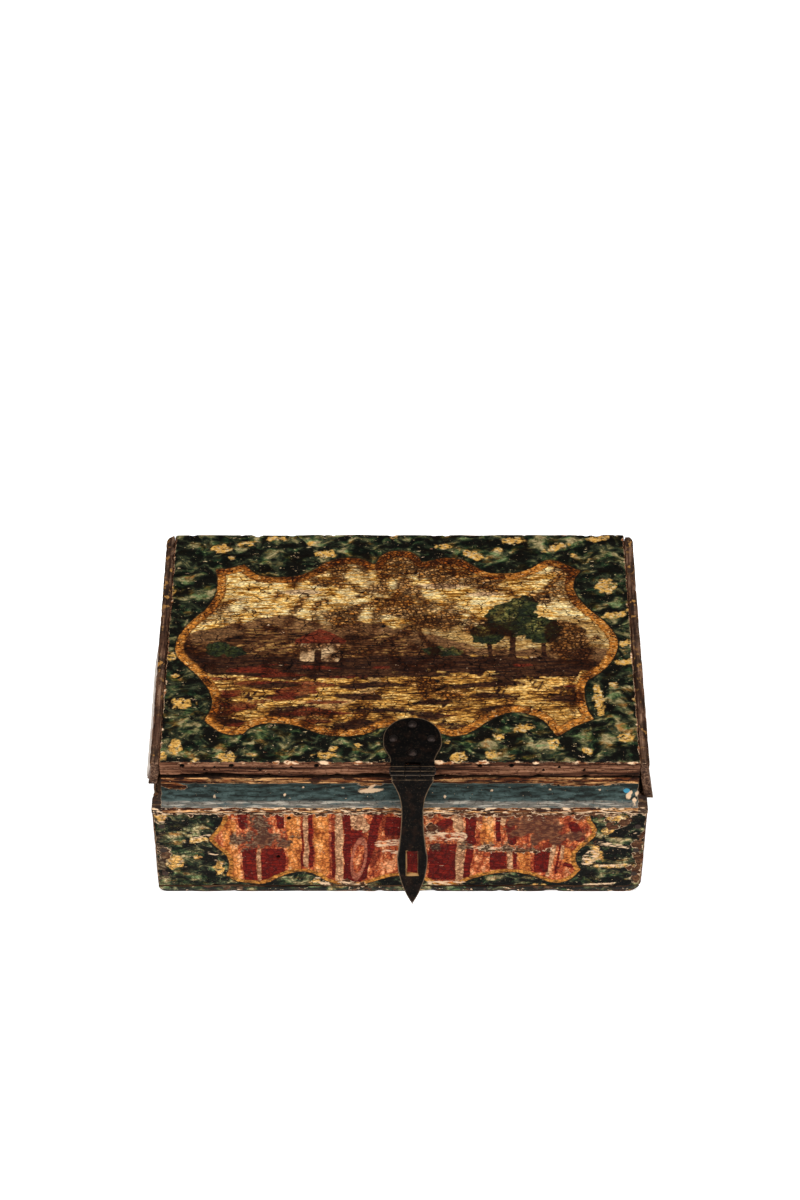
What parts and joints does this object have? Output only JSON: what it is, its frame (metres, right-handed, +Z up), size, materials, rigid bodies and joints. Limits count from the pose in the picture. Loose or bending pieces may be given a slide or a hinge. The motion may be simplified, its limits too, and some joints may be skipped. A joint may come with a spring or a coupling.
{
  "type": "painted wooden box",
  "caption": "Low rectangular painted box with a flat lid turning on side pivot pins, a cove moulding at the front and a hanging iron hasp with a slot.",
  "frame": {"origin": "on the table, under the middle of the case's bottom", "axes": "+X to the right along the front, -Y out of the front, +Z up"},
  "size_m": [0.3446, 0.2589, 0.1271],
  "materials": {
    "plain_board": "bare aged softwood",
    "painted_front": "worn tempera and varnish over gesso",
    "blue_moulding": "worn slate blue paint",
    "painted_side": "worn mottled green paint",
    "painted_lid": "crackled tempera and varnish over gesso",
    "worn_cheek": "bare worn brown wood",
    "iron": "rusted wrought iron",
    "black_iron": "dark forged iron"
  },
  "bodies": {
    "case": {"bottom_board": "plain_board", "front_board": "painted_front", "cove_moulding": "blue_moulding", "left_side_board": "painted_side", "right_side_board": "painted_side", "back_board": "plain_board", "front_nails": "iron", "back_nails": "iron", "bottom_nails": "iron", "moulding_brads": "iron", "left_pivot_pin": "iron", "right_pivot_pin": "iron"},
    "lid": {"lid_board": "painted_lid", "left_cheek": "worn_cheek", "right_cheek": "worn_cheek", "cheek_nails": "iron", "hasp_plate": "black_iron", "hasp_plate_nails": "black_iron", "hasp_pin": "black_iron"},
    "hasp": {"hasp_strap": "black_iron"}
  },
  "joints": [
    {"name": "lid_hinge", "type": "hinge", "parent": "case", "child": "lid", "pos_m": [0, 0.1085, 0.0946], "axis": [-1, 0, 0], "range_deg": [0, 102]},
    {"name": "hasp_hinge", "type": "hinge", "parent": "lid", "child": "hasp", "pos_m": [0.0087, -0.1099, 0.1213], "axis": [-1, 0, 0], "range_deg": [0, 170]}
  ]
}
